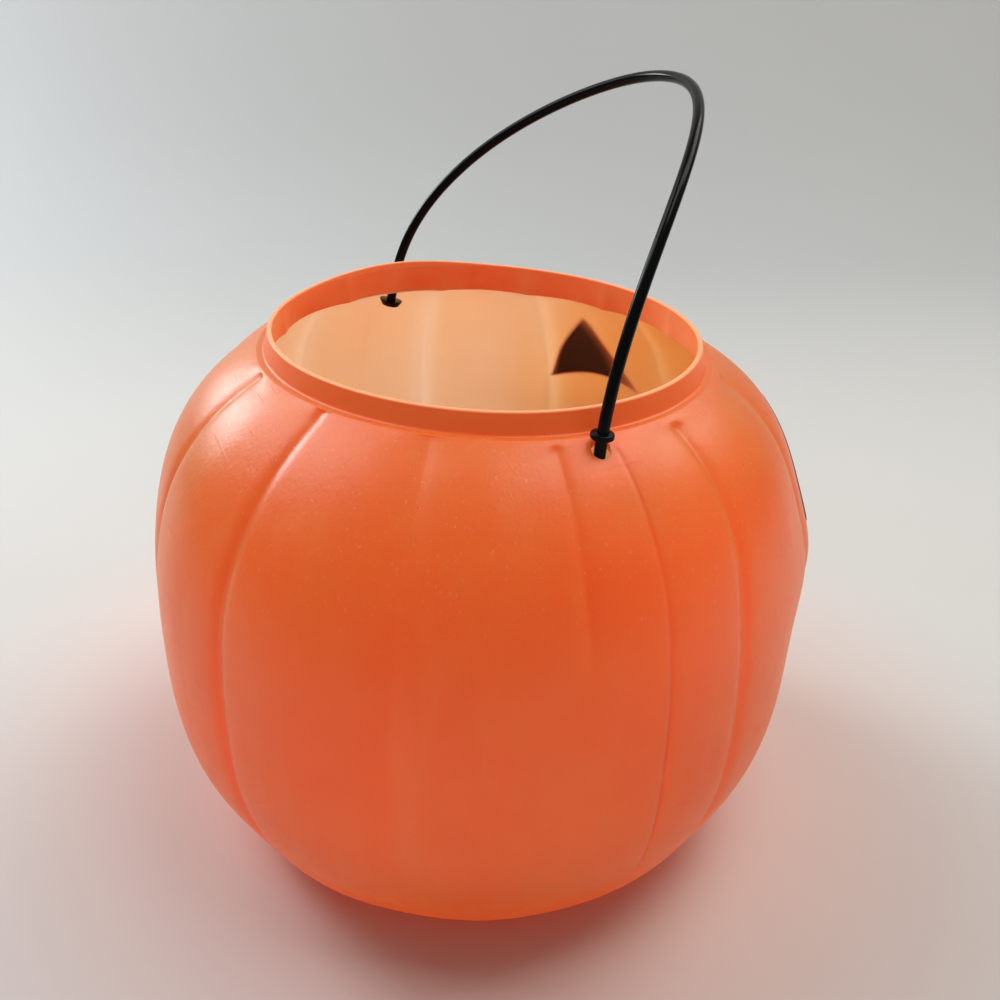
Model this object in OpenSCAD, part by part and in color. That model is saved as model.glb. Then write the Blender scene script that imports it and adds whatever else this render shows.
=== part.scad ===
// Pumpkin candy pail: a ribbed hollow pumpkin with a painted face and a swinging bail.
// Z is up, the base rests on Z = 0, the face looks toward -Y and the bail turns about X.

/* [Body] */
// Widest diameter of the body, over the lobes
body_d = 216; // [190:1:240]
// Height of the widest part above the ground
widest_h = 74; // [60:1:90]
// Height of the shoulder, where the neck band starts
shoulder_h = 164.5; // [150:0.5:185]
// Outer diameter of the flat foot
foot_d = 137; // [110:1:150]
// Radius of the corner between the foot and the side
corner_r = 13; // [8:0.5:18]
// Wall thickness of the blow moulding
wall = 1.5; // [1:0.1:2.5]
// Roundness of the side above the widest part
upper_roundness = 2.78; // [2.2:0.02:3.2]
// Roundness of the side below the widest part
lower_roundness = 2.26; // [2:0.02:2.8]

/* [Ribs and foot] */
// Number of pumpkin lobes
lobes = 12; // [8:2:16]
// Depth of the groove between two lobes
groove_depth = 2.2; // [0:0.1:4]
// Height over which the grooves fade out at the foot
foot_fade_h = 24; // [10:1:40]
// Height over which the grooves fade out below the neck
neck_fade_h = 20; // [10:1:40]
// Width of the foot ring
foot_ring_w = 14; // [8:1:20]
// Height of the raised centre of the base
base_rise = 2.5; // [0.5:0.5:5]

/* [Neck] */
// Outer diameter at the bottom of the neck band
neck_d = 130; // [115:1:135]
// Outer diameter of the rim
rim_d = 127; // [112:1:134]
// Height of the neck band
neck_h = 6.5; // [4:0.5:14]
// Width of the ledge where the shoulder meets the neck band
neck_ledge = 2.3; // [1:0.1:4]
// How far the soft neck is pulled out of round
neck_oval = 5; // [0:0.5:6]
// Direction of the longer way across the neck, from the bail's axis
neck_oval_angle = 36; // [0:1:180]
// Turn of the lobes and the face away from the bail's axis
mould_turn = 3; // [-10:1:10]

/* [Bail] */
// Distance between the centres of the two bail holes
hole_span = 145; // [140:1:152]
// Diameter of the bail's rod
rod_d = 3.3; // [2.5:0.1:4]
// Play of the rod in its hole, all round
rod_play = 0.8; // [0.7:0.1:1.5]
// How far the stop collars overlap the rims of the holes
collar_catch = 0.8; // [0.5:0.1:1.3]
// Thickness of the stop collars
collar_t = 1.6; // [1:0.1:2.5]
// How far the snap buttons on the rod's tips catch behind the rims of the holes
button_catch = 1.8; // [0.5:0.1:2.2]
// Thickness of the snap buttons
button_t = 2.2; // [1:0.1:3]
// Height of the arch above the holes
bail_rise = 88; // [70:0.5:110]
// How far the crown of the arch curves toward the face
bail_curve = 50; // [0:1:60]
// Lean of the bail's legs toward the face at rest
bail_lean = 8; // [-15:1:15]

/* [Face] */
// Thickness of the black paint
paint_t = 0.4; // [0.2:0.1:1]
// How far the spray mask sits to the left of the middle of the face
face_shift = 3; // [-4:0.5:4]
// Distance from the middle of the mask to an eye
eye_x = 55; // [45:1:62]
// Drop from the shoulder to the lower corners of the eyes
eye_drop = 50; // [45:0.5:60]
// Width of an eye
eye_w = 32; // [20:1:36]
// Height of an eye
eye_h = 34; // [20:1:36]
// How far the eyes bend outward halfway up
eye_bow = 3.5; // [0:0.5:6]
// Drop from the lower corners of the eyes to those of the nose
nose_drop = 25; // [20:1:30]
// Width of the nose
nose_w = 25; // [15:1:32]
// Height of the nose
nose_h = 21; // [12:1:26]
// Width of the mouth from corner to corner
mouth_w = 140; // [100:1:150]
// Drop from the lower corners of the eyes to the corners of the mouth
mouth_drop = 31; // [25:1:36]
// Drop of the upper lip at its middle
smile_upper = 18; // [10:1:24]
// Drop of the lower lip at its middle
smile_lower = 42; // [32:1:50]
// Width of a tooth
tooth_w = 17; // [10:1:20]
// Length of a tooth
tooth_h = 9; // [4:0.5:11]
// Swell of the cheeks
cheek = 3.5; // [0:0.1:5]

/* [Hidden] */

// One overrun serves every cut
overrun = 2;
// Radii that the outline is drawn from
body_r = body_d / 2;
foot_r = foot_d / 2;
neck_r = neck_d / 2;
rim_r = rim_d / 2;
hole_x = hole_span / 2;
hole_d = rod_d + 2 * rod_play;
collar_d = hole_d + 2 * collar_catch;
button_d = hole_d + 2 * button_catch;
rim_h = shoulder_h + neck_h;
// Half heights of the two rounded arcs, set by where each arc has to end
lower_h = widest_h / arc_share((foot_r + corner_r) / body_r, lower_roundness);
upper_h = (shoulder_h - widest_h) / arc_share((neck_r + neck_ledge) / body_r, upper_roundness);
// Share of the shoulder's height over which the neck's oval shape dies out
oval_fade_share = 0.35;
// Bevel on the two edges of the rim, as a share of the wall
lip_share = 0.33;

// The shoulder at the bail holes: its normal, how steeply it falls and the height of its mid wall
hole_z = upper_z(hole_x - oval_swell(-mould_turn, upper_z(hole_x)));
hole_normal = side_normal(hole_z);
hole_slope = hole_normal[0] / hole_normal[1];
half_wall = wall / 2 / hole_normal[1];
pivot_z = hole_z - half_wall;
// Room that lets the collars swing over the shoulder and the buttons swing under it
collar_room = 1;
button_room = 2.2;
collar_gap = collar_d / 2 * hole_slope + half_wall + collar_room;
button_gap = button_d / 2 * hole_slope + half_wall + button_room;
hole_reach = hole_d / 2 * hole_slope + half_wall + overrun;

// How deep the rod and the stub each reach into a collar, as a share of its thickness
collar_seat_share = 0.3;
// Width of a button's tip and how deep the stub reaches in, as shares of its size
button_tip_share = 0.7;
button_seat_share = 0.6;

// Sampling of the shell: columns in each lobe and rows up each arc
columns_per_lobe = 8;
columns = lobes * columns_per_lobe;
lower_rows = 8;
upper_rows = 12;
inner_lower_rows = 5;
inner_upper_rows = 7;
// How much closer the rows lie at the top of the shoulder than at its start
row_bias = 1.15;
// Sharpness of the grooves: 1 is a plain scallop, less is a narrower groove
groove_sharpness = 0.7;

// The face looks toward this angle, and its pieces stand at these heights
face_angle = 270;
eye_z = shoulder_h - eye_drop;
nose_z = eye_z - nose_drop;
mouth_z = eye_z - mouth_drop;
// Cheeks: their direction from the middle of the face, drop below the eyes and spread
cheek_angle = 40;
cheek_spread_angle = 12;
cheek_drop = 9;
cheek_z = eye_z - cheek_drop;
cheek_spread = 17;

// The sheet that the paint is cut from: half its angle and its lower edge, below the mouth
paint_angle = 52.5;
paint_margin = 24;
paint_low_z = mouth_z - smile_lower - paint_margin;

// Eyes: height of the arched lower side and lean of the tip, as shares of height and width
eye_arch_share = 0.12;
eye_lean_share = 0.33;
// Upper teeth: how far from the middle, as a share of their width
tooth_place_share = 1.25;

// Sampling of the bail's rod
rod_sides = 12;
rod_steps = 48;
round_steps = 48;

// Height share at which an arc of this roundness has shrunk to a radius share
function arc_share(radius_share, roundness) =
    pow(1 - pow(radius_share, roundness), 1 / roundness);

// Eases from 0 to 1
function ease(share) =
    let (s = min(1, max(0, share)))
    s * s * (3 - 2 * s);

// Outline of the side at a height: radius without grooves
function side_r(z) =
    z < widest_h
        ? body_r * arc_share((widest_h - z) / lower_h, lower_roundness) - corner_cut(z)
        : body_r * arc_share((z - widest_h) / upper_h, upper_roundness);

// Height above the widest part at which the plain outline has a radius
function upper_z(r) = widest_h + upper_h * arc_share(r / body_r, upper_roundness);

// What the corner above the foot takes off the radius
function corner_cut(z) =
    z < corner_r
        ? corner_r - sqrt(corner_r * corner_r - (corner_r - z) * (corner_r - z))
        : 0;

// Unit normal of the side in the radius and height plane
function side_normal(z) =
    let (
        low = z < widest_h,
        p = low ? lower_roundness : upper_roundness,
        half = low ? lower_h : upper_h,
        s = abs(z - widest_h) / half,
        slope = [
            pow(arc_share(s, p), p - 1) / body_r,
            (low ? -1 : 1) * pow(s, p - 1) / half
        ],
        plain = slope / norm(slope),
        turn = z < corner_r ? (corner_r - z) / corner_r : 0,
        mixed = plain * sqrt(1 - turn * turn) + [0, -1] * turn
    )
    mixed / norm(mixed);

// Groove between lobes: 0 on a crest, 1 in a groove
function groove(angle) = 1 - pow(abs(cos(angle * lobes / 2)), groove_sharpness);

// How strong the grooves are at a height
function groove_fade(z) = ease(z / foot_fade_h) * ease((shoulder_h - z) / neck_fade_h);

// Swell of the two cheeks
function cheek_swell(angle, z) =
    let (
        off = abs(abs(angle - face_angle) - cheek_angle) / cheek_spread_angle,
        up = (z - cheek_z) / cheek_spread
    )
    cheek * exp(-off * off - up * up);

// The soft neck is out of round, and the oval dies out down the shoulder
function oval_swell(angle, z) =
    neck_oval * cos(2 * (angle + mould_turn - neck_oval_angle))
    * ease(1 - (shoulder_h - z) / (shoulder_h * oval_fade_share));

// What is added to the plain radius at an angle and height
function relief(angle, z) =
    cheek_swell(angle, z) + oval_swell(angle, z) - groove_depth * groove(angle) * groove_fade(z);

// A ring of the shell: [radius, height, height that its relief follows]
function outer_ring(z) = [side_r(z), z, z];
function inner_ring(z) =
    let (n = side_normal(z))
    [side_r(z) - wall * n[0], z - wall * n[1], z];

// Heights of the rows, closer together where the side curves more
function lower_heights(rows) =
    [for (i = [0 : rows]) corner_r + (widest_h - corner_r) * sin(90 * i / rows)];
function upper_heights(rows) =
    let (top = shoulder_h - widest_h)
    [for (i = [1 : rows]) widest_h + top * sin(90 * pow(i / rows, row_bias))];
corner_heights = [for (turn = [90, 60, 30]) corner_r * (1 - sin(turn))];

outer_heights = concat(corner_heights, lower_heights(lower_rows), upper_heights(upper_rows));
inner_heights = concat(
    corner_heights,
    lower_heights(inner_lower_rows),
    upper_heights(inner_upper_rows)
);

function reversed(list) = [for (i = [len(list) - 1 : -1 : 0]) list[i]];

lip = wall * lip_share;
recess_r = foot_r - foot_ring_w - base_rise;
shell_rings = concat(
    [[recess_r, base_rise, 0], [foot_r - foot_ring_w, 0, 0]],
    [for (z = outer_heights) outer_ring(z)],
    [
        [neck_r, shoulder_h, shoulder_h],
        [rim_r, rim_h - lip, rim_h],
        [rim_r - lip, rim_h, rim_h],
        [rim_r - wall + lip, rim_h, rim_h],
        [rim_r - wall, rim_h - lip, rim_h],
        [neck_r - wall, shoulder_h - wall, shoulder_h]
    ],
    [for (z = reversed(inner_heights)) inner_ring(z)],
    [[foot_r - foot_ring_w, wall, 0], [recess_r, base_rise + wall, 0]]
);

// Point of a ring at an angle
function ring_point(ring, angle, lift = 0) =
    let (r = ring[0] + relief(angle, ring[2]) + lift)
    [r * cos(angle), r * sin(angle), ring[1]];

// Two triangles between four points of a grid, wound to face outward
function cell(a, b, c, d) = [[a, b, c], [a, c, d]];

module pail_body() {
    count = len(shell_rings);
    points = concat(
        [for (ring = shell_rings, i = [0 : columns - 1]) ring_point(ring, i * 360 / columns)],
        [[0, 0, base_rise], [0, 0, base_rise + wall]]
    );
    sides = [
        for (j = [0 : count - 2], i = [0 : columns - 1])
            let (k = (i + 1) % columns)
            each cell(
                j * columns + i,
                (j + 1) * columns + i,
                (j + 1) * columns + k,
                j * columns + k
            )
    ];
    under = [for (i = [0 : columns - 1]) [count * columns, i, (i + 1) % columns]];
    top = (count - 1) * columns;
    over = [for (i = [0 : columns - 1]) [count * columns + 1, top + (i + 1) % columns, top + i]];
    polyhedron(points = points, faces = concat(sides, under, over), convexity = 6);
}

module pail_shell() {
    color("darkorange")
    difference() {
        rotate([0, 0, mould_turn])
            pail_body();
        for (side = [-1, 1])
            translate([side * hole_x, 0, pivot_z - hole_reach])
                cylinder(d = hole_d, h = 2 * hole_reach, $fn = round_steps);
    }
}

// Centre line of the bail's arch while its legs stand upright
function arch_point(turn) = [
    hole_x * cos(turn),
    -bail_curve * sin(turn) * sin(turn),
    bail_rise * sin(turn)
];

// Direction of the arch, with turn in degrees
function arch_tangent(turn) =
    let (t = [
        -hole_x * sin(turn),
        -bail_curve * sin(2 * turn),
        bail_rise * cos(turn)
    ])
    t / norm(t);

// The arch grows out of the two stop collars
module arch() {
    first_turn = asin((collar_gap + collar_t * (1 - collar_seat_share)) / bail_rise);
    points = [
        for (i = [0 : rod_steps])
            let (
                turn = first_turn + (180 - 2 * first_turn) * i / rod_steps,
                tangent = arch_tangent(turn),
                out = cross([0, 1, 0], tangent),
                u = out / norm(out),
                v = cross(tangent, u)
            )
            for (k = [0 : rod_sides - 1])
                let (a = 360 * k / rod_sides)
                arch_point(turn) + rod_d / 2 * (u * cos(a) + v * sin(a))
    ];
    sides = [
        for (i = [0 : rod_steps - 1], k = [0 : rod_sides - 1])
            let (n = (k + 1) % rod_sides)
            each cell(
                i * rod_sides + n,
                (i + 1) * rod_sides + n,
                (i + 1) * rod_sides + k,
                i * rod_sides + k
            )
    ];
    first = [for (k = [0 : rod_sides - 1]) k];
    last = [for (k = [rod_sides - 1 : -1 : 0]) rod_steps * rod_sides + k];
    polyhedron(points = points, faces = concat(sides, [first], [last]), convexity = 4);
}

// The end of a leg: straight stub, stop collar and the button that snaps through the hole
module leg_end() {
    stub_z = -button_gap - button_t * button_seat_share;
    stub_top_z = collar_gap + collar_t * collar_seat_share;
    translate([0, 0, stub_z])
        cylinder(d = rod_d, h = stub_top_z - stub_z, $fn = round_steps);
    translate([0, 0, collar_gap])
        cylinder(d = collar_d, h = collar_t, $fn = round_steps);
    translate([0, 0, -button_gap - button_t])
        cylinder(
            d1 = button_d * button_tip_share,
            d2 = button_d,
            h = button_t,
            $fn = round_steps
        );
}

module bail() {
    color("black")
    translate([0, 0, pivot_z])
        rotate([bail_lean, 0, 0]) {
            arch();
            for (side = [-1, 1])
                translate([side * hole_x, 0, 0])
                    leg_end();
        }
}

// A layer of paint over the whole front, on the same grid as the shell
module paint_layer() {
    step = 360 / columns;
    half = floor(paint_angle / step);
    angles = [for (i = [-half : half]) face_angle + i * step];
    heights = [for (z = outer_heights) if (z > paint_low_z && z < shoulder_h) z];
    across = len(angles);
    rows = len(heights);
    sheet = across * rows;
    points = [
        for (lift = [0, paint_t], z = heights, angle = angles)
            ring_point(outer_ring(z), angle, lift)
    ];
    outside = [
        for (j = [0 : rows - 2], i = [0 : across - 2])
            let (a = sheet + j * across + i)
            each cell(a, a + across, a + across + 1, a + 1)
    ];
    inside = [
        for (j = [0 : rows - 2], i = [0 : across - 2])
            let (a = j * across + i)
            each [[a, a + across + 1, a + across], [a, a + 1, a + across + 1]]
    ];
    edge = concat(
        [for (i = [0 : across - 1]) i],
        [for (j = [1 : rows - 1]) j * across + across - 1],
        [for (i = [across - 2 : -1 : 0]) (rows - 1) * across + i],
        [for (j = [rows - 2 : -1 : 1]) j * across]
    );
    rim = [
        for (i = [0 : len(edge) - 1])
            let (a = edge[i], b = edge[(i + 1) % len(edge)])
            each cell(a, a + sheet, b + sheet, b)
    ];
    polyhedron(points = points, faces = concat(outside, inside, rim), convexity = 4);
}

// Cuts the paint to a shape drawn in front view, with X across and Y up
module painted() {
    color([0.07, 0.07, 0.07])
    rotate([0, 0, mould_turn])
    intersection() {
        paint_layer();
        translate([face_shift, 0, 0])
            rotate([90, 0, 0])
                linear_extrude(height = body_d)
                    children();
    }
}

// Point of an eye's slanted side, from a lower corner to the tip
function eye_side(corner_x, share) =
    let (tip_x = -eye_w * eye_lean_share)
    [corner_x + (tip_x - corner_x) * share + eye_bow * sin(180 * share), eye_h * share];

// Triangle with an arched lower side, bent outward halfway up
module eye_shape() {
    steps = 8;
    shares = [for (i = [0 : steps]) i / steps];
    lower = [for (s = shares) [eye_w * (s - 0.5), eye_h * eye_arch_share * sin(180 * s)]];
    outer = [for (s = shares) if (s > 0) eye_side(eye_w / 2, s)];
    inner = [for (s = reversed(shares)) if (s > 0 && s < 1) eye_side(-eye_w / 2, s)];
    polygon(concat(lower, outer, inner));
}

module left_eye() {
    painted()
        translate([eye_x, eye_z])
            eye_shape();
}

module right_eye() {
    painted()
        mirror([1, 0])
            translate([eye_x, eye_z])
                eye_shape();
}

module nose() {
    painted()
        polygon([[-nose_w / 2, nose_z], [nose_w / 2, nose_z], [0, nose_z + nose_h]]);
}

// Height of a lip across the smile
function lip_z(share, drop) = mouth_z - drop * (1 - share * share);

module mouth() {
    steps = 20;
    shares = [for (i = [0 : steps]) 2 * i / steps - 1];
    upper = [for (s = shares) [s * mouth_w / 2, lip_z(s, smile_upper)]];
    lower = [for (s = reversed(shares)) [s * mouth_w / 2, lip_z(s, smile_lower)]];
    painted()
        difference() {
            polygon(concat(upper, [for (i = [1 : steps - 1]) lower[i]]));
            for (side = [-1, 1])
                translate([
                    side * tooth_w * tooth_place_share - tooth_w / 2,
                    mouth_z - smile_upper - tooth_h
                ])
                    square([tooth_w, tooth_h + smile_upper]);
            translate([-tooth_w / 2, mouth_z - smile_lower - overrun])
                square([tooth_w, tooth_h + overrun]);
        }
}

pail_shell();
bail();
left_eye();
right_eye();
nose();
mouth();
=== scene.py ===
import functools
import math

import bmesh
import bpy
from mathutils import Matrix, Vector


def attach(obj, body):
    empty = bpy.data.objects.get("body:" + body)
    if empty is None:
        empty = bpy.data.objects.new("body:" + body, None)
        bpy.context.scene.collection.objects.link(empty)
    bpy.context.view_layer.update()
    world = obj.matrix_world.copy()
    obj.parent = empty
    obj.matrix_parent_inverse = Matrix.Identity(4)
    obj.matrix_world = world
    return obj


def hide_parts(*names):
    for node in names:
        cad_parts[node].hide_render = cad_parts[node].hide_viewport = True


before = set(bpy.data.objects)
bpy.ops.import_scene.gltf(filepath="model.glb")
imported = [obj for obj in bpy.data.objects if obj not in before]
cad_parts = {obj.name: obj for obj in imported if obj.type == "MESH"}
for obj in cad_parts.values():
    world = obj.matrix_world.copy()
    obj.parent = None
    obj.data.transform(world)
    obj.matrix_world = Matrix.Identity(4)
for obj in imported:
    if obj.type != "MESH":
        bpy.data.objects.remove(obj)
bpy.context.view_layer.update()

mm = 0.001  # sizes in the dictionaries are millimetres, as in the CAD source


# Small helpers

def ease(share):
    s = min(1.0, max(0.0, share))
    return s * s * (3 - 2 * s)


def makeObject(name, bm):
    mesh = bpy.data.meshes.new(name)
    bm.to_mesh(mesh)
    bm.free()
    piece = bpy.data.objects.new(name, mesh)
    bpy.context.scene.collection.objects.link(piece)
    return piece


def smooth(piece, sharpAbove):
    for polygon in piece.data.polygons:
        polygon.use_smooth = True
    piece.data.set_sharp_from_angle(angle=math.radians(sharpAbove))


def applyModifiers(piece):
    shown = piece.evaluated_get(bpy.context.evaluated_depsgraph_get())
    mesh = bpy.data.meshes.new_from_object(shown)
    old = piece.data
    piece.modifiers.clear()
    piece.data = mesh
    mesh.name = piece.name
    bpy.data.meshes.remove(old)


def cutWith(piece, tool, operation):
    modifier = piece.modifiers.new("cut", "BOOLEAN")
    modifier.operation = operation
    modifier.solver = "EXACT"
    modifier.object = tool
    applyModifiers(piece)
    bpy.data.objects.remove(tool)


# Camera

view = {
    "place": (-0.28388, 0.13723, 0.28399),  # metres
    "look": (0.779031, -0.398282, -0.484234),
    "roll": 1.4275,  # degrees
    "lens": 38.38,
}


def makeCamera():
    look = Vector(view["look"]).normalized()
    right = look.cross(Vector((0, 0, 1))).normalized()
    up = right.cross(look)
    roll = math.radians(view["roll"])
    turnedRight = right * math.cos(roll) + up * math.sin(roll)
    turnedUp = up * math.cos(roll) - right * math.sin(roll)
    data = bpy.data.cameras.new("photoCamera")
    data.lens = view["lens"]
    data.sensor_width = 36
    data.clip_start = 0.01
    camera = bpy.data.objects.new("photoCamera", data)
    camera.matrix_world = Matrix((
        (turnedRight.x, turnedUp.x, -look.x, view["place"][0]),
        (turnedRight.y, turnedUp.y, -look.y, view["place"][1]),
        (turnedRight.z, turnedUp.z, -look.z, view["place"][2]),
        (0, 0, 0, 1),
    ))
    bpy.context.scene.collection.objects.link(camera)
    bpy.context.scene.camera = camera


makeCamera()
bpy.context.scene.view_settings.view_transform = "Standard"
print("camera ready")


# Material helpers

class Nodes:
    # A short way to write node trees: each call adds one node and wires it up
    def __init__(self, name):
        self.material = bpy.data.materials.new(name)
        self.material.use_nodes = True
        self.tree = self.material.node_tree
        self.tree.nodes.clear()
        self.shader = self.tree.nodes.new("ShaderNodeBsdfPrincipled")
        output = self.tree.nodes.new("ShaderNodeOutputMaterial")
        self.tree.links.new(self.shader.outputs[0], output.inputs[0])
        self.place = self.tree.nodes.new("ShaderNodeTexCoord").outputs["Object"]

    def plug(self, value, socket):
        if isinstance(value, bpy.types.NodeSocket):
            self.tree.links.new(value, socket)
        elif value is not None:
            socket.default_value = value

    def mapping(self, scale, turn=(0, 0, 0)):
        node = self.tree.nodes.new("ShaderNodeMapping")
        node.inputs["Scale"].default_value = scale
        node.inputs["Rotation"].default_value = [math.radians(a) for a in turn]
        self.plug(self.place, node.inputs["Vector"])
        return node.outputs[0]

    def math(self, operation, a, b=None, c=None):
        node = self.tree.nodes.new("ShaderNodeMath")
        node.operation = operation
        for value, socket in zip((a, b, c), node.inputs):
            self.plug(value, socket)
        return node.outputs[0]

    def noise(self, scale, detail=3, roughness=0.5, source=None):
        node = self.tree.nodes.new("ShaderNodeTexNoise")
        node.inputs["Scale"].default_value = scale
        node.inputs["Detail"].default_value = detail
        node.inputs["Roughness"].default_value = roughness
        self.plug(source or self.place, node.inputs["Vector"])
        return node.outputs["Fac"]

    def ramp(self, value, low, high, toLow=0, toHigh=1):
        node = self.tree.nodes.new("ShaderNodeMapRange")
        node.interpolation_type = "SMOOTHSTEP"
        for number, socket in zip((value, low, high, toLow, toHigh), node.inputs):
            self.plug(number, socket)
        return node.outputs[0]

    def mix(self, share, a, b):
        node = self.tree.nodes.new("ShaderNodeMix")
        node.data_type = "RGBA"
        self.plug(share, node.inputs[0])
        self.plug(a if not isinstance(a, tuple) else (*a, 1), node.inputs[6])
        self.plug(b if not isinstance(b, tuple) else (*b, 1), node.inputs[7])
        return node.outputs[2]

    def bump(self, height, strength, distance, normal=None):
        node = self.tree.nodes.new("ShaderNodeBump")
        node.inputs["Strength"].default_value = strength
        node.inputs["Distance"].default_value = distance
        self.plug(height, node.inputs["Height"])
        self.plug(normal, node.inputs["Normal"])
        return node.outputs[0]

    def facing(self):
        # 0 where the surface faces the viewer and 1 at its edge
        return self.tree.nodes.new("ShaderNodeLayerWeight").outputs["Facing"]

    def split(self, source=None):
        node = self.tree.nodes.new("ShaderNodeSeparateXYZ")
        self.plug(source or self.place, node.inputs[0])
        return node.outputs

    def set(self, **values):
        for name, value in values.items():
            self.plug(value, self.shader.inputs[name.replace("_", " ")])


# Pail: the hollow ribbed shell

pail = {
    "width": 216,
    "widestHeight": 74,
    "shoulderHeight": 164.5,
    "footWidth": 137,
    "footCorner": 13,
    "footRing": 14,
    "baseRise": 2.5,
    "wall": 1.5,
    "upperRoundness": 2.78,
    "lowerRoundness": 2.26,
    "neckWidth": 130,
    "rimWidth": 127,
    "neckHeight": 6.5,
    "neckLedge": 2.3,
    "neckOval": 5,
    "neckOvalAngle": 36.7,
    "ovalFade": 0.35,
    "rimTiltX": 0.0165,  # how much the soft rim rises toward +X and +Y
    "rimTiltY": -0.0274,
    "rimBump": 1.8,
    "rimBumpAngle": 3,
    "rimBumpSpread": 24,
    "neckSkirt": 1.5,  # how far the neck's inner edge hangs below the wall
    "tiltFadeHeight": 45,
    "mouldTurn": 3,
    "neckFillet": 1.9,  # radii of the section's corners
    "lipRound": 0.55,
    "skirtRound": 0.5,
    "footRound": 1.2,
    "columns": 392,  # mesh columns round the pail and rows up each arc of its side
    "outsideRows": 38,
    "insideRows": 30,
    "filmRows": 44,
    "rowBias": 1.1,
    "holeSpan": 145,
    "holeHeight": 160.5,
    "holeWidth": 5.5,
    "nearHoleShift": -0.15,  # how far each hole is off the middle of the side
    "farHoleShift": 1.2,
}

# Grooves: angle round the pail, depth and width of the crease, the height that it fades out at
# below and how far from the neck it starts above, and its share of the valley between two lobes
grooves = [
    {"angle": 19, "depth": 1.3, "width": 2.0, "from": 18, "start": 2, "valley": 1.0},
    {"angle": 49, "depth": 1.3, "width": 2.0, "from": 18, "start": 2, "valley": 1.0},
    {"angle": 82, "depth": 1.4, "width": 1.8, "from": 40, "start": 1, "valley": 1.0},
    {"angle": 110.9, "depth": 1.7, "width": 1.8, "from": 10, "start": 0, "valley": 1.1},
    {"angle": 142.2, "depth": 0.9, "width": 3.0, "from": 30, "start": 0, "valley": 0.8},
    {"angle": 170.7, "depth": 1.1, "width": 1.6, "from": 105, "start": 2, "valley": 0.6},
    {"angle": 183.4, "depth": 0.55, "width": 0.7, "from": 6, "start": 4, "valley": 0.25},
    {"angle": 200, "depth": 1.4, "width": 1.8, "from": 12, "start": 3, "valley": 0.9},
    {"angle": 229.2, "depth": 1.3, "width": 2.0, "from": 18, "start": 3, "valley": 1.0},
    {"angle": 258, "depth": 1.2, "width": 2.0, "from": 18, "start": 3, "valley": 1.0},
    {"angle": 288, "depth": 1.2, "width": 2.0, "from": 18, "start": 3, "valley": 1.0},
    {"angle": 318, "depth": 1.2, "width": 2.0, "from": 18, "start": 3, "valley": 1.0},
    {"angle": 348, "depth": 1.3, "width": 2.0, "from": 18, "start": 2, "valley": 1.0},
    {"angle": 363.4, "depth": 0.55, "width": 0.7, "from": 6, "start": 4, "valley": 0.25},
]
grooves.sort(key=lambda groove: groove["angle"] % 360)
grooveShape = {
    "scallop": 1.0,  # how far the whole valley between two lobes sinks
    "valleyAngle": 15,
    "reachAngle": 18,  # a groove changes nothing further off than this
    "bottomRound": 0.5,  # how round the bottom of a crease is, as a share of its width
    "insideShare": 0.6,  # depth of a crease on the wall's inner side, as a share
    "insideWidth": 2.8,
    "footFade": 24,
    "neckFade": 3,
    "neckStart": 0.3,  # share of a crease's depth that it already has at its start
    "valleyNeckFade": 6,
    "crowding": 0.62,  # how much closer the mesh columns stand at a groove
}
cheeks = {"swell": 3.5, "angle": 40, "spread": 12, "height": 106, "reach": 17}


def arcShare(radiusShare, roundness):
    return max(0.0, 1 - abs(radiusShare) ** roundness) ** (1 / roundness)


bodyRadius = pail["width"] / 2
footRadius = pail["footWidth"] / 2
neckRadius = pail["neckWidth"] / 2
rimRadius = pail["rimWidth"] / 2
rimHeight = pail["shoulderHeight"] + pail["neckHeight"]
lowerHalf = pail["widestHeight"] / arcShare(
    (footRadius + pail["footCorner"]) / bodyRadius, pail["lowerRoundness"])
upperHalf = (pail["shoulderHeight"] - pail["widestHeight"]) / arcShare(
    (neckRadius + pail["neckLedge"]) / bodyRadius, pail["upperRoundness"])


def sideRadius(z):
    if z >= pail["widestHeight"]:
        return bodyRadius * arcShare((z - pail["widestHeight"]) / upperHalf, pail["upperRoundness"])
    corner = pail["footCorner"]
    cut = corner - math.sqrt(corner ** 2 - (corner - z) ** 2) if z < corner else 0
    return bodyRadius * arcShare((pail["widestHeight"] - z) / lowerHalf, pail["lowerRoundness"]) - cut


def rounded(points, radii, steps=4):
    # Rounds the corners of an outline: one radius for each point, 0 keeps it sharp
    result = []
    most = 0.45  # share of a side that one corner may use
    for i, point in enumerate(points):
        radius = radii[i]
        if radius == 0 or i in (0, len(points) - 1):
            result.append(point)
            continue
        before, after = Vector(points[i - 1]), Vector(points[i + 1])
        corner = Vector(point)
        a = (before - corner).normalized()
        b = (after - corner).normalized()
        reach = min(radius, most * (before - corner).length, most * (after - corner).length)
        start, end = corner + a * reach, corner + b * reach
        for k in range(steps + 1):
            t = k / steps
            result.append(tuple((1 - t) ** 2 * start + 2 * t * (1 - t) * corner + t ** 2 * end))
    return result


def sideHeights(rows):
    # Heights of the mesh rows, closer together where the side curves more
    foot, widest = pail["footCorner"], pail["widestHeight"]
    rise = pail["shoulderHeight"] - widest
    quarter = math.pi / 2
    cornerRows, upperRows = 6, rows + 10
    corner = [foot * (1 - math.sin(quarter * (1 - i / cornerRows))) for i in range(cornerRows)]
    low = [foot + (widest - foot) * math.sin(quarter * i / rows) for i in range(rows + 1)]
    high = [widest + rise * math.sin(quarter * (i / upperRows) ** pail["rowBias"])
            for i in range(1, upperRows + 1)]
    return corner + low + high


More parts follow.
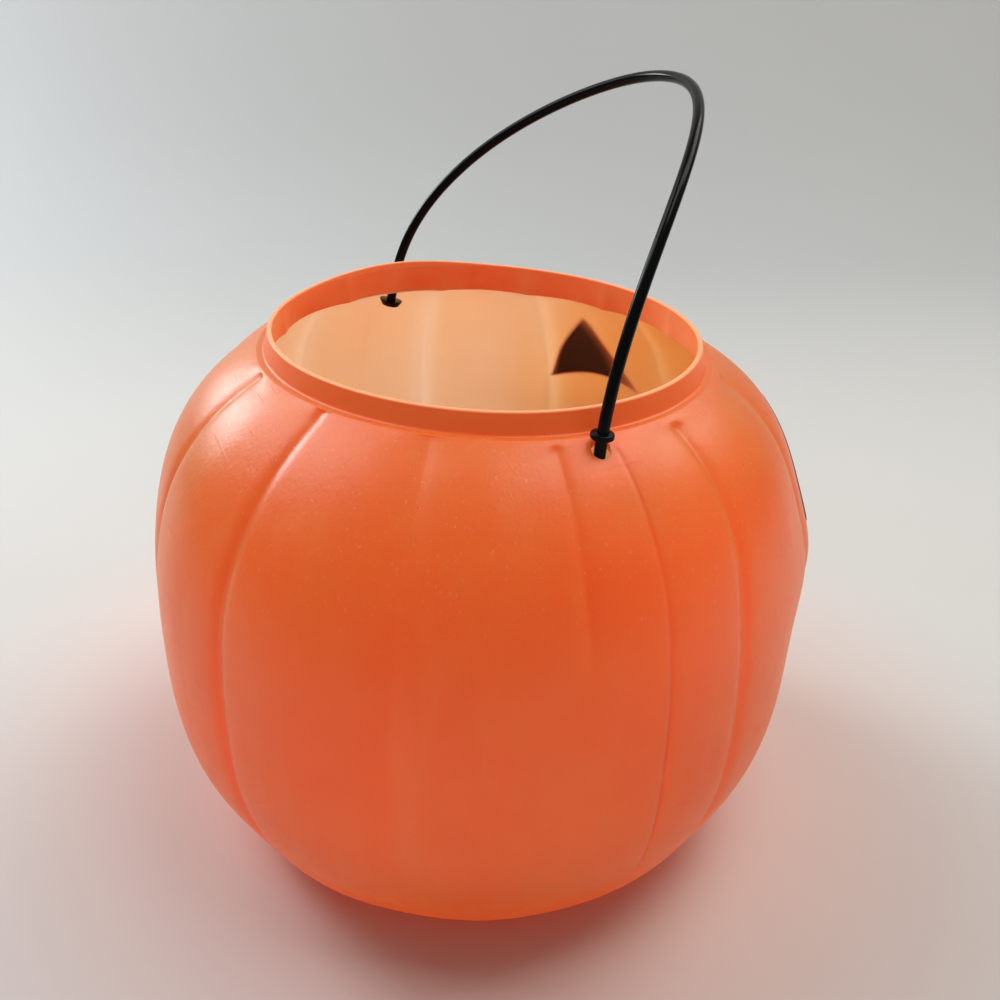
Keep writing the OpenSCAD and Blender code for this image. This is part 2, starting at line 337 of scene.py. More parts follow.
def shellOutline():
    # Half section of the wall, from the middle of the base up the outside and down the inside
    wall = pail["wall"]
    ring = footRadius - pail["footRing"]
    recess = ring - pail["baseRise"]
    outer = [(sideRadius(z), z) for z in sideHeights(pail["outsideRows"])]
    inner = []
    for z in reversed(sideHeights(pail["insideRows"])):
        low, high = max(z - 0.5, 0.01), min(z + 0.5, pail["shoulderHeight"] + 0.4)
        slope = Vector((high - low, sideRadius(low) - sideRadius(high))).normalized()
        if z < pail["footCorner"]:
            share = (pail["footCorner"] - z) / pail["footCorner"]
            slope = Vector((math.sqrt(1 - share ** 2), -share))
        inner.append((sideRadius(z) - wall * slope.x, z - wall * slope.y))
    shoulder, rise = pail["shoulderHeight"], pail["baseRise"]
    skirt = shoulder - wall - pail["neckSkirt"]
    lipRound, skirtRound, footRound = pail["lipRound"], pail["skirtRound"], pail["footRound"]
    neck = rounded(
        [outer[-1], (neckRadius, shoulder), (rimRadius, rimHeight), (rimRadius - wall, rimHeight),
         (neckRadius - wall, skirt), (neckRadius, skirt), inner[0]],
        [0, pail["neckFillet"], lipRound, lipRound, skirtRound, skirtRound, 0])
    under = rounded([(0, rise), (recess, rise), (ring, 0), outer[0]],
                    [0, footRound, footRound, 0])
    floor = rounded([inner[-1], (ring, wall), (recess, rise + wall), (0, rise + wall)],
                    [0, footRound, footRound, 0])
    return under[:-1] + outer[:-1] + neck + inner[1:-1] + floor


def fromNeck(z):
    # How far outside the neck the wall is at a height
    return sideRadius(min(z, pail["shoulderHeight"])) - neckRadius - pail["neckLedge"]


def grooveStrength(groove, z):
    top = (fromNeck(z) - groove["start"]) / grooveShape["neckFade"] + grooveShape["neckStart"]
    return ease(top) * ease((z - groove["from"]) / grooveShape["footFade"])


@functools.cache
def grooveFacts(z):
    # Valley fade, radius and crease strengths at a height
    onNeck = z > pail["shoulderHeight"] - 0.1
    if onNeck:
        return 0, neckRadius, [0] * len(grooves)
    fade = ease(z / grooveShape["footFade"]) * ease(fromNeck(z) / grooveShape["valleyNeckFade"])
    return fade, sideRadius(z), [grooveStrength(groove, z) for groove in grooves]


def apart(a, b):
    # Degrees between two directions
    return abs((a - b + 180) % 360 - 180)


def creaseShare(groove, distance, inner):
    # Share of a crease's depth this far from its middle; it is broad and soft inside
    if inner:
        return grooveShape["insideShare"] * math.exp(-(distance / grooveShape["insideWidth"]) ** 2)
    bottom = grooveShape["bottomRound"] * groove["width"]
    return math.exp((bottom - math.hypot(distance, bottom)) / groove["width"])


def relief(angle, z, inner):
    # Millimetres added to the plain radius at an angle in degrees
    total = 0
    fade, radius, strengths = grooveFacts(z)
    for groove, strength in zip(grooves, strengths):
        off = apart(angle, groove["angle"])
        if off > grooveShape["reachAngle"]:
            continue
        valley = 0.5 * (1 + math.cos(math.pi * min(1, off / grooveShape["valleyAngle"])))
        total -= grooveShape["scallop"] * groove["valley"] * fade * valley
        distance = math.radians(off) * radius
        total -= groove["depth"] * strength * creaseShare(groove, distance, inner)
    up = (z - cheeks["height"]) / cheeks["reach"]
    for side in (-1, 1):
        off = apart(angle, 270 + pail["mouldTurn"] + side * cheeks["angle"])
        total += cheeks["swell"] * math.exp(-(off / cheeks["spread"]) ** 2 - up * up)
    below = (pail["shoulderHeight"] - z) / pail["shoulderHeight"]
    oval = pail["neckOval"] * math.cos(2 * math.radians(angle - pail["neckOvalAngle"]))
    return total + oval * ease(1 - below / pail["ovalFade"])


def columnAngle(index):
    # Spreads the columns so that they crowd together at the grooves
    lobes = len(grooves)
    position = index * lobes / pail["columns"]
    lobe = int(position) % lobes
    share = position - int(position)
    start = grooves[lobe]["angle"]
    width = (grooves[(lobe + 1) % lobes]["angle"] - start) % 360
    eased = share - grooveShape["crowding"] * math.sin(2 * math.pi * share) / (2 * math.pi)
    return (start + width * eased) % 360


def lift(x, y, z):
    # The soft rim doesn't lie quite level, and it is pushed up a little by the far hole
    share = ease((z - rimHeight + pail["tiltFadeHeight"]) / pail["tiltFadeHeight"])
    off = math.degrees(math.atan2(y, x)) - pail["rimBumpAngle"]
    onNeck = ease((z - pail["shoulderHeight"] + 1) / pail["neckHeight"])
    bump = pail["rimBump"] * math.exp(-(off / pail["rimBumpSpread"]) ** 2) * onNeck
    return (pail["rimTiltX"] * x + pail["rimTiltY"] * y) * share + bump


def shapeRing(bm):
    # Gives a plain spun shape its grooves, cheeks, oval neck and tilted rim
    flatBelow, plainCentre = 20, 45
    for vertex in bm.verts:
        radius = math.hypot(vertex.co.x, vertex.co.y) / mm
        if radius < 1:  # the middle of the base
            continue
        z = round(vertex.co.z / mm, 3)
        turn = math.degrees(math.atan2(vertex.co.y, vertex.co.x)) % 360
        angle = columnAngle(round(turn * pail["columns"] / 360) % pail["columns"])
        plain = sideRadius(min(z, pail["shoulderHeight"]))
        inner = z > flatBelow and radius < plain - 0.4 * pail["wall"]
        radius += relief(angle, z, inner) * ease(radius / plainCentre)
        x = radius * math.cos(math.radians(angle))
        y = radius * math.sin(math.radians(angle))
        vertex.co = Vector((x, y, z + lift(x, y, z))) * mm


def spinOutline(outline):
    bm = bmesh.new()
    points = [bm.verts.new((r * mm, 0, z * mm)) for r, z in outline]
    edges = [bm.edges.new(pair) for pair in zip(points, points[1:])]
    bmesh.ops.spin(bm, geom=points + edges, cent=(0, 0, 0), axis=(0, 0, 1), dvec=(0, 0, 0),
                   angle=2 * math.pi, steps=pail["columns"], use_merge=True, use_duplicate=False)
    bmesh.ops.remove_doubles(bm, verts=bm.verts, dist=1e-6)
    return bm


def markInside(shell):
    # Four materials: the wall's outer and inner side, then those of the neck
    for _ in range(4):
        shell.data.materials.append(None)
    shoulder = pail["shoulderHeight"]
    skirtBelow, filletAbove, aroundNeck, floorBelow = 4, 0.3, 6, 20
    for polygon in shell.data.polygons:
        place, normal = polygon.center / mm, polygon.normal
        outward = normal.x * place.x + normal.y * place.y
        level = place.z - lift(place.x, place.y, rimHeight)
        lip = level > shoulder - skirtBelow and normal.z > 0.5
        inward = outward < 0 and not lip or place.z < floorBelow and normal.z > 0
        neckFoot = shoulder - skirtBelow if inward else shoulder + filletAbove
        onNeck = level > neckFoot and math.hypot(place.x, place.y) < neckRadius + aroundNeck
        polygon.material_index = (2 if onNeck else 0) + (1 if inward else 0)


def makeShell():
    bm = spinOutline(shellOutline())
    shapeRing(bm)
    bmesh.ops.recalc_face_normals(bm, faces=bm.faces)
    shell = makeObject("pailBody", bm)
    drills = bmesh.new()
    radius = pail["holeWidth"] / 2 * mm
    for side, shift in ((-1, pail["nearHoleShift"]), (1, pail["farHoleShift"])):
        place = Vector((side * pail["holeSpan"] / 2, shift, pail["holeHeight"])) * mm
        bmesh.ops.create_cone(
            drills, cap_ends=True, segments=64, radius1=radius, radius2=radius, depth=12 * mm,
            matrix=Matrix.Translation(place))
    cutWith(shell, makeObject("drills", drills), "DIFFERENCE")
    smooth(shell, 38)
    markInside(shell)
    return shell


pailBody = makeShell()
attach(pailBody, "pail")
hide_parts("pail_shell")
print("pail body ready", len(pailBody.data.polygons), "faces")


# Face: four sprayed films on the outside of the shell

face = {
    "film": 0.2,
    "clearance": 0.06,  # gap between the film and the wall
    "shift": 3,  # the spray mask sat this much to the left of the middle
    "eyeX": 55, "eyeZ": 114.5, "eyeWidth": 32, "eyeHeight": 34,
    "eyeArchShare": 0.12, "eyeLeanShare": 0.33, "eyeBow": 3.3,
    "noseZ": 90, "noseWidth": 25, "noseHeight": 21,
    "mouthWidth": 140, "mouthZ": 84, "upperDrop": 18, "lowerDrop": 42, "mouthStep": 3.5,
    "toothWidth": 17, "toothHeight": 9, "toothPlaceShare": 1.25,
}


def eyeOutline(side):
    # Triangle with an arched lower side, bent outward halfway up
    half = face["eyeWidth"] / 2
    arch = face["eyeHeight"] * face["eyeArchShare"]
    tip = -face["eyeWidth"] * face["eyeLeanShare"]
    steps = 16
    points = [(-half + face["eyeWidth"] * i / steps, arch * math.sin(math.pi * i / steps))
              for i in range(steps + 1)]
    for corner, shares in ((half, range(1, steps + 1)), (-half, range(steps - 1, 0, -1))):
        for i in shares:
            share = i / steps
            bow = face["eyeBow"] * math.sin(math.pi * share)
            points.append((corner + (tip - corner) * share + bow, face["eyeHeight"] * share))
    return [(side * (face["eyeX"] + x), face["eyeZ"] + z) for x, z in points]


def noseOutline():
    half = face["noseWidth"] / 2
    return [(-half, face["noseZ"]), (half, face["noseZ"]), (0, face["noseZ"] + face["noseHeight"])]


def lipHeight(x, drop):
    share = 2 * x / face["mouthWidth"]
    return face["mouthZ"] - drop * (1 - share * share)


def mouthOutline():
    # Upper lip from left to right with two teeth, lower lip back with one
    count = int(face["mouthWidth"] / face["mouthStep"])
    across = [face["mouthWidth"] * (i / count - 0.5) for i in range(count + 1)]
    half = face["toothWidth"] / 2
    teeth = [side * face["toothWidth"] * face["toothPlaceShare"] for side in (-1, 1)]
    toothEnd = face["mouthZ"] - face["upperDrop"] - face["toothHeight"]
    toothTop = face["mouthZ"] - face["lowerDrop"] + face["toothHeight"]
    upper = [(x, lipHeight(x, face["upperDrop"])) for x in across
             if not any(abs(x - tooth) < half for tooth in teeth)]
    for tooth in teeth:
        left, right = tooth - half, tooth + half
        upper += [(left, lipHeight(left, face["upperDrop"])), (left, toothEnd),
                  (right, toothEnd), (right, lipHeight(right, face["upperDrop"]))]
    order = {point: i for i, point in enumerate(upper)}
    upper.sort(key=lambda point: (point[0], order[point]))
    lower = [(x, lipHeight(x, face["lowerDrop"])) for x in reversed(across[1:-1]) if abs(x) > half]
    middle = sum(x > 0 for x, z in lower)
    foot = lipHeight(half, face["lowerDrop"])
    tooth = [(half, foot), (half, toothTop), (-half, toothTop), (-half, foot)]
    return upper + lower[:middle] + tooth + lower[middle:]


def paintSheet():
    # The front of the shell, lifted a little and given the film's thickness
    lowest, front = 25, -28
    heights = [z for z in sideHeights(pail["filmRows"]) if z > lowest]
    bm = spinOutline([(sideRadius(z) + face["clearance"], z) for z in heights])
    shapeRing(bm)
    away = [f for f in bm.faces if f.calc_center_median().y > front * mm]
    bmesh.ops.delete(bm, geom=away, context="FACES")
    bmesh.ops.recalc_face_normals(bm, faces=bm.faces)
    if sum(f.normal.dot(f.calc_center_median()) for f in bm.faces) < 0:
        bmesh.ops.reverse_faces(bm, faces=bm.faces)
    bmesh.ops.solidify(bm, geom=bm.faces, thickness=-face["film"] * mm)
    bmesh.ops.recalc_face_normals(bm, faces=bm.faces)
    return bm


def makePaint(name, outline):
    film = bpy.data.objects.new(name, sheetMesh.copy())
    bpy.context.scene.collection.objects.link(film)
    bm = bmesh.new()
    corners = [bm.verts.new(((x + face["shift"]) * mm, 0, z * mm)) for x, z in outline]
    flat = bm.faces.new(corners)
    pushed = bmesh.ops.extrude_face_region(bm, geom=[flat])
    moved = [v for v in pushed["geom"] if isinstance(v, bmesh.types.BMVert)]
    bmesh.ops.translate(bm, verts=moved, vec=(0, -0.6 * pail["width"] * mm, 0))
    bmesh.ops.rotate(bm, verts=bm.verts, cent=(0, 0, 0),
                     matrix=Matrix.Rotation(math.radians(pail["mouldTurn"]), 3, "Z"))
    bmesh.ops.recalc_face_normals(bm, faces=bm.faces)
    cutWith(film, makeObject("stencil", bm), "INTERSECT")
    smooth(film, 50)
    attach(film, "pail")
    return film


sheetMesh = bpy.data.meshes.new("paintSheet")
sheet = paintSheet()
sheet.to_mesh(sheetMesh)
sheet.free()

films = {
    "left_eye": makePaint("leftEye", eyeOutline(1)),
    "right_eye": makePaint("rightEye", eyeOutline(-1)),
    "nose": makePaint("noseTriangle", noseOutline()),
    "mouth": makePaint("grin", mouthOutline()),
}
for node, film in films.items():
    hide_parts(node)
    print("film ready", film.name, len(film.data.polygons), "faces")


# Bail: bent rod, stop collars and the buttons that snap through the holes

bail = {
    "rod": 3.3,
    "span": 149,
    "pinch": 2.0,  # how far each leg comes in at its hole
    "rise": 87.4,
    "curve": 50.1,
    "lean": 8.1,
    "twist": 4.1,  # the far leg leans this much more than the middle, the near one as much less
    "squareness": 0.96,  # 1 is a plain half ellipse, less has fuller shoulders
    "nearShift": 0.1,  # where the near and the far end stand in their holes
    "farShift": 1.0,
    "pivotHeight": 161.704,
    "endsFollow": 0.9,  # how much of the rim's tilt the two ends follow
    "collarWidth": 6.5,
    "collarThickness": 1.6,
    "collarGap": 3.69,
    "buttonGap": 5.46,
    "buttonThickness": 2.2,
    "buttonWidth": 8.5,
    "buttonTip": 6,
    "collarSoft": 0.4,
    "buttonSoft": 0.3,
    "seat": 0.6,  # how deep the rod and the stub reach into a collar
    "buttonSeat": 1.2,  # how deep the stub reaches into a button
    "steps": 96,
}


def leaned(point):
    # The springy arch leans toward the face, its far leg a little more
    half = bail["span"] / 2
    lean = bail["lean"] + bail["twist"] * point.x / half
    place = Matrix.Rotation(math.radians(lean), 4, "X") @ point
    # The ends follow the soft rim, which is lower at the near hole than at the far one
    endHeight, fadeHeight = 8, 40
    atEnd = 1 - ease((point.z - endHeight) / fadeHeight)
    follow = pail["rimTiltX"] * bail["endsFollow"] * point.x * atEnd
    return (place + Vector((0, 0, bail["pivotHeight"] + follow))) * mm


def archPoint(degrees):
    t = math.radians(degrees)
    half = bail["span"] / 2
    cosine = math.cos(t)
    across = math.copysign(abs(cosine) ** bail["squareness"], cosine)
    inward = bail["pinch"] * math.copysign(abs(cosine) ** 12, cosine)
    up = math.sin(t) ** bail["squareness"]
    shift = (bail["nearShift"] if cosine < 0 else bail["farShift"]) * abs(cosine) ** 3
    back = shift - bail["curve"] * math.sin(t) ** 2
    return Vector((half * across - inward, back, bail["rise"] * up))


def makeRod():
    curve = bpy.data.curves.new("rodLine", "CURVE")
    curve.dimensions = "3D"
    curve.bevel_depth = bail["rod"] / 2 * mm
    curve.bevel_resolution = 6
    curve.use_fill_caps = True
    spline = curve.splines.new("POLY")
    first = math.degrees(math.asin((bail["collarGap"] + bail["seat"]) / bail["rise"]))
    spline.points.add(bail["steps"])
    for i, point in enumerate(spline.points):
        angle = first + (180 - 2 * first) * i / bail["steps"]
        point.co = (*leaned(archPoint(angle)), 1)
    line = bpy.data.objects.new("rodLine", curve)
    bpy.context.scene.collection.objects.link(line)
    shown = line.evaluated_get(bpy.context.evaluated_depsgraph_get())
    mesh = bpy.data.meshes.new_from_object(shown)
    bm = bmesh.new()
    bm.from_mesh(mesh)
    bpy.data.objects.remove(line)
    bpy.data.meshes.remove(mesh)
    return bm


def addDisc(bm, low, high, lowWidth, highWidth, soft):
    # One round part of a leg's end, with its two rims softened
    disc = bmesh.ops.create_cone(
        bm, cap_ends=True, segments=48, radius1=lowWidth / 2, radius2=highWidth / 2,
        depth=high - low, matrix=Matrix.Translation((0, 0, (low + high) / 2)))
    if soft:
        sharp = 0.6  # radians between the faces at a rim, and hardly any between those of the side
        rims = {e for v in disc["verts"] for e in v.link_edges if e.calc_face_angle(0) > sharp}
        bmesh.ops.bevel(bm, geom=list(rims), offset=soft, segments=3, profile=0.5,
                        affect="EDGES", material=-1)


def addLegEnd(bm, side):
    # Stub, stop collar and snap button, made upright and then leaned with the arch
    rod, collar = bail["rod"], bail["collarWidth"]
    buttonTop, collarLow = -bail["buttonGap"], bail["collarGap"]
    buttonLow = buttonTop - bail["buttonThickness"]
    collarTop = collarLow + bail["collarThickness"]
    before = set(bm.verts)
    addDisc(bm, buttonTop - bail["buttonSeat"], collarTop - bail["seat"], rod, rod, 0)
    addDisc(bm, collarLow, collarTop, collar, collar, bail["collarSoft"])
    addDisc(bm, buttonLow, buttonTop, bail["buttonTip"], bail["buttonWidth"], bail["buttonSoft"])
    shift = bail["nearShift"] if side < 0 else bail["farShift"]
    place = Vector((side * pail["holeSpan"] / 2, shift, 0))
    for vertex in bm.verts:
        if vertex not in before:
            vertex.co = leaned(vertex.co + place)


def makeBail():
    bm = makeRod()
    for side in (-1, 1):
        addLegEnd(bm, side)
    bmesh.ops.recalc_face_normals(bm, faces=bm.faces)
    piece = makeObject("bailHandle", bm)
    smooth(piece, 40)
    return piece


bailHandle = makeBail()
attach(bailHandle, "bail")
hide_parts("bail")
print("bail ready", len(bailHandle.data.polygons), "faces")


# Materials

orange = {
    "outside": (0.95, 0.20, 0.034),
    "deep": (0.90, 0.155, 0.022),
    "streak": (0.97, 0.26, 0.06),
    # glintHighlight: colour of the painted highlights, small bright glints on the upper body
    "glintHighlight": (1.0, 0.50, 0.25),
    "speck": (0.102, 0.013, 0.0048),
    "parting": (0.55, 0.06, 0.008),
    # inside, insideDeep and neckInside are painted light: the inner side is paler than the outside,
    # for the light the thin wall lets through
    "inside": (0.99, 0.57, 0.45),
    "insideDeep": (0.98, 0.53, 0.40),
    "faceShade": (0.95, 0.36, 0.14),  # painted shade: the wall between the painted features is darker, as it gets less light
    "neck": (0.90, 0.19, 0.035),
    "neckInside": (0.90, 0.37, 0.15),
    "lip": (0.93, 0.42, 0.20),
    "outsideDepth": (0.015, 0.0006, 0.0002),  # metres that red, green and blue light travel
    "insideDepth": (0.012, 0.008, 0.006),
    "neckDepth": (0.003, 0.0006, 0.0002),
    "glow": (1.0, 0.135, 0.022),  # painted glow: emission standing in for the light that the thin wall lets through
    "slantGlow": (0.35, 0.08, 0.015),  # the same painted glow where the wall is seen at a slant
    "glowStrength": 0.205,
    "neckGlowStrength": 0.18,
    "neckInsideGlowStrength": 0.2,
    "insideGlow": (1.0, 0.32, 0.17),
    "insideGlowStrength": 0.045,
    "shadow": (0.03, 0.004, 0.001),  # the wall with the black paint behind it
    "roughness": 0.31,
}


def surfaceGrain(nodes):
    # Fine flow lines down the side, a soft orange-peel and crossed handling scratches
    flow = nodes.noise(900, 2, 0.5, nodes.mapping((1, 1, 0.06)))
    peel = nodes.noise(160, 3, 0.55)
    scratchA = nodes.noise(700, 1, 0.5, nodes.mapping((1, 0.05, 0.3), (20, 30, 35)))
    scratchB = nodes.noise(760, 1, 0.5, nodes.mapping((0.05, 1, 0.4), (-25, 15, 70)))
    lines = nodes.math("MAXIMUM", nodes.ramp(scratchA, 0.66, 0.74), nodes.ramp(scratchB, 0.67, 0.75))
    return flow, peel, lines


def partingLine(nodes):
    # Two thin dark lines up the sides, where the halves of the mould met
    x, y, z = nodes.split()[:3]
    a = math.radians(pail["mouldTurn"] + 0.4)
    off = nodes.math("MULTIPLY_ADD", x, math.sin(a), nodes.math("MULTIPLY", y, -math.cos(a)))
    line = nodes.ramp(nodes.math("ABSOLUTE", off), 0.0002, 0.0011, 1, 0)
    line = nodes.math("MULTIPLY", line, nodes.ramp(z, 0.012, 0.04))
    line = nodes.math("MULTIPLY", line, nodes.ramp(z, 0.150, 0.163, 1, 0))
    wear = nodes.ramp(nodes.noise(45, 2), 0.3, 0.6, 0.35, 1)
    return nodes.math("MULTIPLY", line, wear)


def orangePlastic():
    nodes = Nodes("orangePlastic")
    flow, peel, lines = surfaceGrain(nodes)
    cloud = nodes.noise(14, 3, 0.6)
    streaks = nodes.noise(60, 3, 0.6, nodes.mapping((1, 1, 0.12)))
    colour = nodes.mix(nodes.ramp(cloud, 0.35, 0.65), orange["outside"], orange["deep"])
    colour = nodes.mix(nodes.ramp(streaks, 0.5, 0.75, 0, 0.35), colour, orange["streak"])
    # Painted highlights: small bright glints, only on the upper part of the body
    glintHighlights = nodes.ramp(nodes.noise(1300, 1, 0.5, nodes.mapping((1, 1, 0.35))), 0.68, 0.76)
    upper = nodes.ramp(nodes.split()[2], 0.10, 0.15)
    glintHighlights = nodes.math("MULTIPLY", glintHighlights, upper)
    colour = nodes.mix(nodes.math("MULTIPLY", glintHighlights, 0.45), colour, orange["glintHighlight"])
    specks = nodes.ramp(nodes.noise(1500, 1), 0.79, 0.8)
    colour = nodes.mix(specks, colour, orange["speck"])
    colour = nodes.mix(nodes.math("MULTIPLY", partingLine(nodes), 0.55), colour, orange["parting"])
    normal = nodes.bump(peel, 0.16, 0.0006)
    normal = nodes.bump(flow, 0.4, 0.00016, normal)
    normal = nodes.bump(lines, 0.22, 0.0001, normal)
    rough = nodes.math("MULTIPLY_ADD", peel, 0.1, orange["roughness"])
    rough = nodes.math("MULTIPLY_ADD", lines, 0.08, rough)
    # Hardly any light passes the thick collar of the wall round each hole
    x, y, z = nodes.split()[:3]
    along = nodes.math("SUBTRACT", nodes.math("ABSOLUTE", x), pail["holeSpan"] / 2 * mm)
    reach = nodes.math("SQRT", nodes.math(
        "MULTIPLY_ADD", along, along, nodes.math("MULTIPLY", y, y)))
    depth = nodes.ramp(reach, 0.007, 0.014, 0.12, 1)
    # Painted glow: less light comes through where the wall is seen at a slant, but the floor lights
    # the foot
    slant = nodes.math("MULTIPLY", nodes.ramp(nodes.facing(), 0.25, 0.8), nodes.ramp(z, 0.01, 0.04))
    glow = nodes.mix(slant, orange["glow"], orange["slantGlow"])
    nodes.set(Base_Color=colour, Roughness=rough, Normal=normal, IOR=1.47,
              Subsurface_Weight=1.0, Subsurface_Scale=depth,
              Subsurface_Radius=orange["outsideDepth"],
              Emission_Color=glow, Emission_Strength=orange["glowStrength"])
    return nodes.material


def orangeNeck(name, plain, glowStrength):
    # The neck is thicker, so less light comes through it and its painted glow is weaker; its cut lip
    # is pale
    nodes = Nodes(name)
    peel, lines = surfaceGrain(nodes)[1:]
    x, y, z = nodes.split()[:3]
    tilt = nodes.math("MULTIPLY_ADD", x, -pail["rimTiltX"], z)
    level = nodes.math("MULTIPLY_ADD", y, -pail["rimTiltY"], tilt)
    top = nodes.ramp(level, (rimHeight - 0.55) * mm, (rimHeight - 0.2) * mm)
    colour = nodes.mix(nodes.ramp(nodes.noise(40, 3, 0.6), 0.3, 1.0), plain, orange["deep"])
    colour = nodes.mix(top, colour, orange["lip"])
    normal = nodes.bump(peel, 0.12, 0.0006)
    normal = nodes.bump(lines, 0.2, 0.00008, normal)
    nodes.set(Base_Color=colour, Roughness=nodes.math("MULTIPLY_ADD", peel, 0.12, 0.32),
              Normal=normal, IOR=1.47, Subsurface_Weight=0.6, Subsurface_Scale=1.0,
              Subsurface_Radius=orange["neckDepth"],
              Emission_Color=(*orange["glow"], 1), Emission_Strength=glowStrength)
    return nodes.material


def bowed(nodes, length, whole):
    # A half wave along a length: 0 at both of its ends and 1 at its middle
    share = nodes.math("MINIMUM", 1, nodes.math("DIVIDE", length, whole))
    share = nodes.math("MAXIMUM", 0, share)
    return nodes.math("SINE", nodes.math("MULTIPLY", share, math.pi))


def paintShadow(nodes):
    # Where an eye shows through the wall, as a share from 0 to 1. The scale is a little over
    # 1000 because the paint lies outside, a wall's thickness further out
    x, y, z = nodes.split(nodes.mapping((1017, 1017, 1000), (0, 0, -pail["mouldTurn"])))[:3]
    blur = 0.9
    half, high = face["eyeWidth"] / 2, face["eyeHeight"]
    side = nodes.math("ABSOLUTE", nodes.math("SUBTRACT", x, face["shift"]))
    straight = nodes.math("SUBTRACT", side, face["eyeX"])
    v = nodes.math("SUBTRACT", z, face["eyeZ"])
    u = nodes.math("MULTIPLY_ADD", bowed(nodes, v, high), -face["eyeBow"], straight)
    arch = bowed(nodes, nodes.math("ADD", straight, half), face["eyeWidth"])
    above = nodes.math("MULTIPLY_ADD", arch, -high * face["eyeArchShare"], v)
    tip = -face["eyeWidth"] * face["eyeLeanShare"]

    def beside(start, sign):
        # Distance inside the slanted side from a lower corner to the tip
        run = Vector((tip - start, high)).normalized()
        a = nodes.math("MULTIPLY", nodes.math("SUBTRACT", u, start), sign * run.y)
        return nodes.math("MULTIPLY_ADD", v, -sign * run.x, a)

    inside = nodes.math("MINIMUM", nodes.math("MINIMUM", beside(-half, 1), beside(half, -1)), above)
    front = nodes.ramp(y, -10, -5, 1, 0)
    # The painted shadow fades out toward the eye's inner corner
    shadowCornerFade = nodes.ramp(straight, -half + 2, -half + 11, 0.05, 1)
    shown = nodes.math("MULTIPLY", nodes.ramp(inside, -blur, blur), front)
    return nodes.math("MULTIPLY", shown, shadowCornerFade)


def orangeInside():
    nodes = Nodes("orangeInside")
    flow, peel = surfaceGrain(nodes)[:2]
    cloud = nodes.noise(18, 3, 0.6, nodes.mapping((1, 1, 0.35)))
    # Painted light: the inner wall is coloured paler than the outside, for light coming through the
    # wall
    colour = nodes.mix(nodes.ramp(cloud, 0.3, 0.7), orange["inside"], orange["insideDeep"])
    y = nodes.split()[1]
    # Painted shade on the inner wall near the face
    colour = nodes.mix(nodes.ramp(y, -0.045, -0.085), colour, orange["faceShade"])
    shadow = paintShadow(nodes)
    colour = nodes.mix(shadow, colour, orange["shadow"])
    # Painted glow on the inner wall, none where an eye shows through
    glow = nodes.mix(shadow, orange["insideGlow"], (0, 0, 0))
    normal = nodes.bump(peel, 0.2, 0.0006)
    normal = nodes.bump(flow, 0.15, 0.0001, normal)
    rough = nodes.math("MULTIPLY_ADD", peel, 0.15, 0.42)
    nodes.set(Base_Color=colour, Roughness=rough, Normal=normal, IOR=1.45,
              Subsurface_Weight=1.0, Subsurface_Scale=1.0,
              Subsurface_Radius=orange["insideDepth"], Emission_Color=glow,
              Emission_Strength=orange["insideGlowStrength"])
    return nodes.material


def blackPlastic():
    nodes = Nodes("blackPlastic")
    haze = nodes.noise(120, 3, 0.6)
    scuffs = nodes.ramp(nodes.noise(900, 2, 0.6, nodes.mapping((1, 1, 0.2))), 0.62, 0.75)
    colour = nodes.mix(haze, (0.003, 0.003, 0.003), (0.007, 0.006, 0.006))
    rough = nodes.math("MULTIPLY_ADD", haze, 0.08, 0.12)
    rough = nodes.math("MULTIPLY_ADD", scuffs, 0.15, rough)
    normal = nodes.bump(haze, 0.1, 0.0003)
    normal = nodes.bump(scuffs, 0.15, 0.00005, normal)
    nodes.set(Base_Color=colour, Roughness=rough, Normal=normal, IOR=1.3,
              Specular_IOR_Level=0.25)
    return nodes.material


def blackPaint():
    nodes = Nodes("blackPaint")
    spray = nodes.noise(1400, 2, 0.6)
    haze = nodes.noise(60, 3, 0.6)
    colour = nodes.mix(haze, (0.012, 0.01, 0.009), (0.03, 0.024, 0.02))
    rough = nodes.math("MULTIPLY_ADD", haze, 0.2, 0.32)
    normal = nodes.bump(spray, 0.25, 0.00012)
    nodes.set(Base_Color=colour, Roughness=rough, Normal=normal, IOR=1.5)
    return nodes.material


pailBody.data.materials[0] = orangePlastic()
pailBody.data.materials[1] = orangeInside()
pailBody.data.materials[2] = orangeNeck(
    "orangeNeck", orange["neck"], orange["neckGlowStrength"])
# The paler inner neck colour is painted light, for light coming through the wall
pailBody.data.materials[3] = orangeNeck(
    "orangeNeckInside", orange["neckInside"], orange["neckInsideGlowStrength"])
bailHandle.data.materials.append(blackPlastic())
paintMaterial = blackPaint()
for film in films.values():
    film.data.materials.clear()
    film.data.materials.append(paintMaterial)
print("materials ready")


# Stage: pale paper sweep and soft light

stage = {
    "floor": (0.66, 0.65, 0.635),
    "pailGlowTint": (0.80, 0.61, 0.56),  # painted glow: the pail's own light on the paper close round it
    # behind and wall are painted shade and light on the same paper: darker further behind the pail,
    # lighter where it stands upright
    "behind": (0.48, 0.485, 0.485),
    "wall": (0.69, 0.695, 0.69),
    "mottle": (0.3, 0.28, 0.26),
    "bendDistance": 0.68,  # metres behind the pail where the paper starts to rise
    "bendRadius": 0.3,
    "bendSteps": 12,
    "front": 2.0,
    "height": 2.2,
    "width": 6.0,
    "room": (1.0, 1.0, 1.0),
    "roomStrength": 0.17,
}
